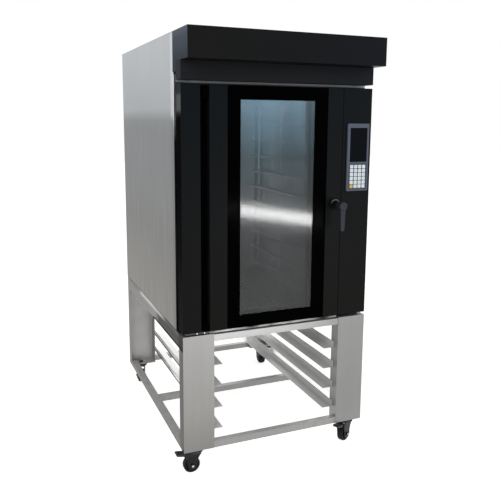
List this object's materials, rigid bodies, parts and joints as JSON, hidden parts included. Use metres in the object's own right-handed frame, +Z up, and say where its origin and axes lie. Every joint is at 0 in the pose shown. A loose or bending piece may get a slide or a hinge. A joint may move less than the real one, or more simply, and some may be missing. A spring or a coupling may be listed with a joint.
{
  "type": "electric convection oven",
  "caption": "Floor-standing electric convection oven: black front with a left-hung glass door and keypad controller, stainless casing, fans in the chamber, on a wheeled stand with tray runners.",
  "frame": {"origin": "middle of the footprint's bounding box, on the floor under the wheels", "axes": "+X to the right seen from the front, +Y to the back, +Z up; the door faces -Y"},
  "size_m": [0.9316, 1.239, 1.938],
  "materials": {
    "frame_steel": "brushed",
    "casing_steel": "brushed",
    "hood_black": "gloss",
    "front_black": "satin",
    "liner_steel": "brushed",
    "wool": "matt",
    "rack_steel": "brushed",
    "element_steel": "satin",
    "motor_grey": "satin",
    "fan_aluminium": "satin",
    "door_glass": "gloss",
    "seal_rubber": "matt",
    "fitting_steel": "satin",
    "handle_dark": "satin",
    "bezel_grey": "satin",
    "screen": "gloss",
    "key_white": "satin",
    "key_amber": "satin",
    "stand_steel": "brushed",
    "caster_dark": "satin",
    "caster_wheel": "matt",
    "brake_plastic": "satin"
  },
  "bodies": {
    "oven": {"chassis": "frame_steel", "side_panels": "casing_steel", "back_panel": "casing_steel", "top_panel": "casing_steel", "hood": "hood_black", "fascia": "front_black", "left_front_panel": "front_black", "control_panel": "front_black", "chamber_liner": "liner_steel", "insulation": "wool", "tray_racks": "rack_steel", "fan_baffle": "liner_steel", "heater_elements": "element_steel", "fan_motors": "motor_grey", "controller_bezel": "bezel_grey", "display": "screen", "door_fittings": "fitting_steel", "stand_frame": "stand_steel", "stand_runners": "stand_steel"},
    "door": {"door_frame": "front_black", "door_glass": "door_glass", "door_seal": "seal_rubber", "handle_rose": "handle_dark"},
    "handle": {"handle_lever": "handle_dark"},
    "fan_lower_rotor": {"fan_lower": "fan_aluminium"},
    "fan_upper_rotor": {"fan_upper": "fan_aluminium"},
    "caster_front_left": {"caster_fork_front_left": "caster_dark"},
    "wheel_front_left": {"caster_wheel_front_left": "caster_wheel"},
    "brake_front_left": {"caster_brake_front_left": "brake_plastic"},
    "caster_front_right": {"caster_fork_front_right": "caster_dark"},
    "wheel_front_right": {"caster_wheel_front_right": "caster_wheel"},
    "brake_front_right": {"caster_brake_front_right": "brake_plastic"},
    "caster_rear_left": {"caster_fork_rear_left": "caster_dark"},
    "wheel_rear_left": {"caster_wheel_rear_left": "caster_wheel"},
    "caster_rear_right": {"caster_fork_rear_right": "caster_dark"},
    "wheel_rear_right": {"caster_wheel_rear_right": "caster_wheel"},
    "button_r1_c1": {"key_r1_c1": "key_white"},
    "button_r1_c2": {"key_r1_c2": "key_white"},
    "button_r1_c3": {"key_r1_c3": "key_white"},
    "button_r1_c4": {"key_r1_c4": "key_white"},
    "button_r2_c1": {"key_r2_c1": "key_white"},
    "button_r2_c2": {"key_r2_c2": "key_white"},
    "button_r2_c3": {"key_r2_c3": "key_white"},
    "button_r2_c4": {"key_r2_c4": "key_white"},
    "button_r3_c1": {"key_r3_c1": "key_white"},
    "button_r3_c2": {"key_r3_c2": "key_white"},
    "button_r3_c3": {"key_r3_c3": "key_white"},
    "button_r3_c4": {"key_r3_c4": "key_white"},
    "button_r4_c1": {"key_r4_c1": "key_white"},
    "button_r4_c2": {"key_r4_c2": "key_white"},
    "button_r4_c3": {"key_r4_c3": "key_white"},
    "button_r4_c4": {"key_r4_c4": "key_white"},
    "button_r5_c1": {"key_r5_c1": "key_white"},
    "button_r5_c2": {"key_r5_c2": "key_white"},
    "button_r5_c3": {"key_r5_c3": "key_white"},
    "button_r5_c4": {"key_r5_c4": "key_white"},
    "button_r6_c1": {"key_r6_c1": "key_amber"},
    "button_r6_c2": {"key_r6_c2": "key_white"},
    "button_r6_c3": {"key_r6_c3": "key_white"},
    "button_r6_c4": {"key_r6_c4": "key_white"}
  },
  "joints": [
    {"name": "door_hinge", "type": "hinge", "parent": "oven", "child": "door", "pos_m": [-0.32825, -0.5065, 1.173], "axis": [0, 0, -1], "range_deg": [0, 110]},
    {"name": "door_handle_turn", "type": "hinge", "parent": "door", "child": "handle", "pos_m": [0.28375, -0.5195, 1.178], "axis": [0, 1, 0], "range_deg": [0, 90]},
    {"name": "fan_lower_spin", "type": "hinge", "parent": "oven", "child": "fan_lower_rotor", "pos_m": [-0.00025, 0.3305, 0.93], "axis": [0, 1, 0], "continuous": true},
    {"name": "fan_upper_spin", "type": "hinge", "parent": "oven", "child": "fan_upper_rotor", "pos_m": [-0.00025, 0.3305, 1.41], "axis": [0, 1, 0], "continuous": true},
    {"name": "brake_pedal_front_left", "type": "hinge", "parent": "caster_front_left", "child": "brake_front_left", "pos_m": [-0.41025, -0.4875, 0.088], "axis": [0, -1, 0], "range_deg": [0, 20]},
    {"name": "brake_pedal_front_right", "type": "hinge", "parent": "caster_front_right", "child": "brake_front_right", "pos_m": [0.3702, -0.50534, 0.088], "axis": [0.4695, -0.8829, 0], "range_deg": [0, 20]},
    {"name": "caster_swivel_front_left", "type": "hinge", "parent": "oven", "child": "caster_front_left", "pos_m": [-0.37225, -0.4875, 0.1], "axis": [0, 0, 1], "continuous": true},
    {"name": "caster_swivel_front_right", "type": "hinge", "parent": "oven", "child": "caster_front_right", "pos_m": [0.40375, -0.4875, 0.1], "axis": [0, 0, 1], "continuous": true},
    {"name": "caster_swivel_rear_left", "type": "hinge", "parent": "oven", "child": "caster_rear_left", "pos_m": [-0.37225, 0.5785, 0.1], "axis": [0, 0, 1], "continuous": true},
    {"name": "caster_swivel_rear_right", "type": "hinge", "parent": "oven", "child": "caster_rear_right", "pos_m": [0.40375, 0.5785, 0.1], "axis": [0, 0, 1], "continuous": true},
    {"name": "wheel_roll_front_left", "type": "hinge", "parent": "caster_front_left", "child": "wheel_front_left", "pos_m": [-0.39225, -0.4875, 0.0375], "axis": [0, -1, 0], "continuous": true},
    {"name": "wheel_roll_front_right", "type": "hinge", "parent": "caster_front_right", "child": "wheel_front_right", "pos_m": [0.38609, -0.49689, 0.0375], "axis": [0.4695, -0.8829, 0], "continuous": true},
    {"name": "wheel_roll_rear_left", "type": "hinge", "parent": "caster_rear_left", "child": "wheel_rear_left", "pos_m": [-0.37909, 0.55971, 0.0375], "axis": [0.9397, -0.342, 0], "continuous": true},
    {"name": "wheel_roll_rear_right", "type": "hinge", "parent": "caster_rear_right", "child": "wheel_rear_right", "pos_m": [0.40445, 0.55851, 0.0375], "axis": [0.9994, 0.0349, 0], "continuous": true},
    {"name": "key_r1_c1_press", "type": "slide", "parent": "oven", "child": "button_r1_c1", "axis": [0, 1, 0], "range_m": [0, 0.001], "stiffness_N_per_m": 300},
    {"name": "key_r1_c2_press", "type": "slide", "parent": "oven", "child": "button_r1_c2", "axis": [0, 1, 0], "range_m": [0, 0.001], "stiffness_N_per_m": 300},
    {"name": "key_r1_c3_press", "type": "slide", "parent": "oven", "child": "button_r1_c3", "axis": [0, 1, 0], "range_m": [0, 0.001], "stiffness_N_per_m": 300},
    {"name": "key_r1_c4_press", "type": "slide", "parent": "oven", "child": "button_r1_c4", "axis": [0, 1, 0], "range_m": [0, 0.001], "stiffness_N_per_m": 300},
    {"name": "key_r2_c1_press", "type": "slide", "parent": "oven", "child": "button_r2_c1", "axis": [0, 1, 0], "range_m": [0, 0.001], "stiffness_N_per_m": 300},
    {"name": "key_r2_c2_press", "type": "slide", "parent": "oven", "child": "button_r2_c2", "axis": [0, 1, 0], "range_m": [0, 0.001], "stiffness_N_per_m": 300},
    {"name": "key_r2_c3_press", "type": "slide", "parent": "oven", "child": "button_r2_c3", "axis": [0, 1, 0], "range_m": [0, 0.001], "stiffness_N_per_m": 300},
    {"name": "key_r2_c4_press", "type": "slide", "parent": "oven", "child": "button_r2_c4", "axis": [0, 1, 0], "range_m": [0, 0.001], "stiffness_N_per_m": 300},
    {"name": "key_r3_c1_press", "type": "slide", "parent": "oven", "child": "button_r3_c1", "axis": [0, 1, 0], "range_m": [0, 0.001], "stiffness_N_per_m": 300},
    {"name": "key_r3_c2_press", "type": "slide", "parent": "oven", "child": "button_r3_c2", "axis": [0, 1, 0], "range_m": [0, 0.001], "stiffness_N_per_m": 300},
    {"name": "key_r3_c3_press", "type": "slide", "parent": "oven", "child": "button_r3_c3", "axis": [0, 1, 0], "range_m": [0, 0.001], "stiffness_N_per_m": 300},
    {"name": "key_r3_c4_press", "type": "slide", "parent": "oven", "child": "button_r3_c4", "axis": [0, 1, 0], "range_m": [0, 0.001], "stiffness_N_per_m": 300},
    {"name": "key_r4_c1_press", "type": "slide", "parent": "oven", "child": "button_r4_c1", "axis": [0, 1, 0], "range_m": [0, 0.001], "stiffness_N_per_m": 300},
    {"name": "key_r4_c2_press", "type": "slide", "parent": "oven", "child": "button_r4_c2", "axis": [0, 1, 0], "range_m": [0, 0.001], "stiffness_N_per_m": 300},
    {"name": "key_r4_c3_press", "type": "slide", "parent": "oven", "child": "button_r4_c3", "axis": [0, 1, 0], "range_m": [0, 0.001], "stiffness_N_per_m": 300},
    {"name": "key_r4_c4_press", "type": "slide", "parent": "oven", "child": "button_r4_c4", "axis": [0, 1, 0], "range_m": [0, 0.001], "stiffness_N_per_m": 300},
    {"name": "key_r5_c1_press", "type": "slide", "parent": "oven", "child": "button_r5_c1", "axis": [0, 1, 0], "range_m": [0, 0.001], "stiffness_N_per_m": 300},
    {"name": "key_r5_c2_press", "type": "slide", "parent": "oven", "child": "button_r5_c2", "axis": [0, 1, 0], "range_m": [0, 0.001], "stiffness_N_per_m": 300},
    {"name": "key_r5_c3_press", "type": "slide", "parent": "oven", "child": "button_r5_c3", "axis": [0, 1, 0], "range_m": [0, 0.001], "stiffness_N_per_m": 300},
    {"name": "key_r5_c4_press", "type": "slide", "parent": "oven", "child": "button_r5_c4", "axis": [0, 1, 0], "range_m": [0, 0.001], "stiffness_N_per_m": 300},
    {"name": "key_r6_c1_press", "type": "slide", "parent": "oven", "child": "button_r6_c1", "axis": [0, 1, 0], "range_m": [0, 0.001], "stiffness_N_per_m": 300},
    {"name": "key_r6_c2_press", "type": "slide", "parent": "oven", "child": "button_r6_c2", "axis": [0, 1, 0], "range_m": [0, 0.001], "stiffness_N_per_m": 300},
    {"name": "key_r6_c3_press", "type": "slide", "parent": "oven", "child": "button_r6_c3", "axis": [0, 1, 0], "range_m": [0, 0.001], "stiffness_N_per_m": 300},
    {"name": "key_r6_c4_press", "type": "slide", "parent": "oven", "child": "button_r6_c4", "axis": [0, 1, 0], "range_m": [0, 0.001], "stiffness_N_per_m": 300}
  ]
}
